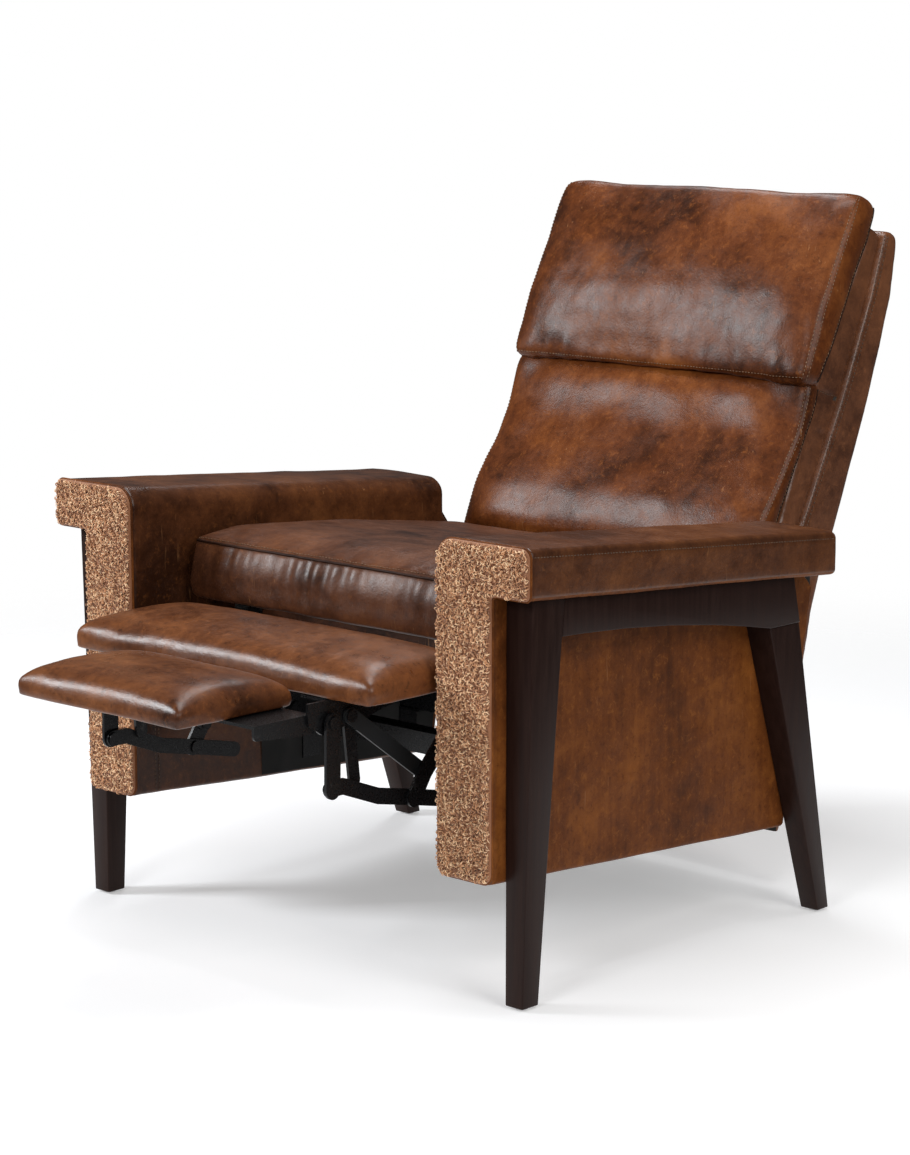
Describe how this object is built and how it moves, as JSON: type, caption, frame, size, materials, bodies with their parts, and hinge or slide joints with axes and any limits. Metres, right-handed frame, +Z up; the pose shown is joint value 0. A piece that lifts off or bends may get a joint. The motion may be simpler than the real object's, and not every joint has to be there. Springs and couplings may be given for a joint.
{
  "type": "recliner armchair",
  "caption": "Leather recliner armchair with splayed wood legs, reclining back and fold-out two-piece footrest on steel links.",
  "frame": {"origin": "on the floor under the centre of the chair's footprint, footrest out", "axes": "+Z up, -Y to the front where the footrest is, +X to the sitter's left"},
  "size_m": [0.85, 1.243, 0.9348],
  "materials": {
    "leather": "waxed, semi-gloss",
    "suede": "curled roughout, matt",
    "dark_wood": "satin espresso stain",
    "raw_wood": "unfinished",
    "black_steel": "satin black",
    "spring_steel": "oiled",
    "webbing": "woven, matt",
    "glide_plastic": "matt"
  },
  "bodies": {
    "base": {"arm_side_left": "leather", "arm_side_right": "leather", "arm_pad_left": "leather", "arm_pad_right": "leather", "arm_facing_left": "suede", "arm_facing_right": "suede", "front_leg_left": "dark_wood", "front_leg_right": "dark_wood", "rear_leg_left": "dark_wood", "rear_leg_right": "dark_wood", "top_rail_left": "dark_wood", "top_rail_right": "dark_wood", "swing_hanger_left": "black_steel", "swing_hanger_right": "black_steel", "foot_glides": "glide_plastic", "front_cross_tube": "black_steel", "rear_cross_tube": "black_steel", "tube_brackets": "black_steel"},
    "front_swing": {"front_swing_link_left": "black_steel", "front_swing_link_right": "black_steel"},
    "rear_swing": {"rear_swing_link_left": "black_steel", "rear_swing_link_right": "black_steel"},
    "seat": {"seat_plate_left": "black_steel", "seat_plate_right": "black_steel", "seat_side_rail_left": "raw_wood", "seat_side_rail_right": "raw_wood", "seat_front_rail": "raw_wood", "seat_rear_rail": "raw_wood", "seat_springs": "spring_steel", "seat_cushion": "leather"},
    "back": {"back_top_rail": "raw_wood", "back_lower_rail": "raw_wood", "back_skin": "leather", "back_webbing": "webbing", "headrest_cushion": "leather", "lumbar_cushion": "leather", "back_springs": "spring_steel", "back_side_cover_left": "leather", "back_side_cover_right": "leather", "back_stile_left": "raw_wood", "back_stile_right": "raw_wood", "back_bracket_left": "black_steel", "back_bracket_right": "black_steel"},
    "lift": {"lift_link_left": "black_steel", "lift_link_right": "black_steel"},
    "upper": {"upper_link_left": "black_steel", "upper_link_right": "black_steel"},
    "lower": {"lower_link_left": "black_steel", "lower_link_right": "black_steel"},
    "riser": {"riser_link_left": "black_steel", "riser_link_right": "black_steel"},
    "footrest": {"footrest_bracket_left": "black_steel", "footrest_bracket_right": "black_steel", "footrest_board": "raw_wood", "footrest_cushion": "leather"},
    "front_pad": {"front_pad_bracket_left": "black_steel", "front_pad_bracket_right": "black_steel", "front_pad_board": "raw_wood", "front_pad_cushion": "leather"}
  },
  "joints": [
    {"name": "back_recline", "type": "hinge", "parent": "seat", "child": "back", "pos_m": [0, 0.3085, 0.43], "axis": [-1, 0, 0], "range_deg": [-14, 16]},
    {"name": "front_swing", "type": "hinge", "parent": "base", "child": "front_swing", "pos_m": [0, -0.0865, 0.252], "axis": [1, 0, 0], "range_deg": [-11.7, 13.3]},
    {"name": "seat_glide", "type": "hinge", "parent": "front_swing", "child": "seat", "pos_m": [0, -0.0865, 0.34], "axis": [1, 0, 0], "range_deg": [-13.3, 11.7]},
    {"name": "rear_swing", "type": "hinge", "parent": "base", "child": "rear_swing", "pos_m": [0, 0.1985, 0.252], "axis": [1, 0, 0], "range_deg": [-11.7, 13.3]},
    {"name": "footrest_fold", "type": "hinge", "parent": "seat", "child": "lift", "pos_m": [0, -0.1965, 0.33], "axis": [1, 0, 0], "range_deg": [0, 120]},
    {"name": "upper_link_pivot", "type": "hinge", "parent": "lift", "child": "upper", "pos_m": [0, -0.2615, 0.261], "axis": [1, 0, 0], "range_deg": [-57.03, 0.5]},
    {"name": "footrest_tilt", "type": "hinge", "parent": "upper", "child": "footrest", "pos_m": [0, -0.3865, 0.352], "axis": [1, 0, 0], "range_deg": [-0.5, 27.03]},
    {"name": "lower_link_pivot", "type": "hinge", "parent": "lift", "child": "lower", "pos_m": [0, -0.2805, 0.232], "axis": [1, 0, 0], "range_deg": [-53.75, 0.5]},
    {"name": "riser_pivot", "type": "hinge", "parent": "lower", "child": "riser", "pos_m": [0, -0.4215, 0.267], "axis": [1, 0, 0], "range_deg": [-0.5, 15.68]},
    {"name": "front_pad_flip", "type": "hinge", "parent": "footrest", "child": "front_pad", "pos_m": [0, -0.4205, 0.349], "axis": [1, 0, 0], "range_deg": [-0.5, 180.5]}
  ],
  "couplings": [
    {"joint": "front_swing", "follows": "back_recline", "ratio": 0.8},
    {"joint": "seat_glide", "follows": "back_recline", "ratio": -0.8},
    {"joint": "rear_swing", "follows": "back_recline", "ratio": 0.8},
    {"joint": "upper_link_pivot", "follows": "footrest_fold", "ratio": -0.47112},
    {"joint": "footrest_tilt", "follows": "footrest_fold", "ratio": 0.22112},
    {"joint": "lower_link_pivot", "follows": "footrest_fold", "ratio": -0.44378},
    {"joint": "riser_pivot", "follows": "footrest_fold", "ratio": 0.12653},
    {"joint": "front_pad_flip", "follows": "footrest_fold", "ratio": 1.5}
  ]
}
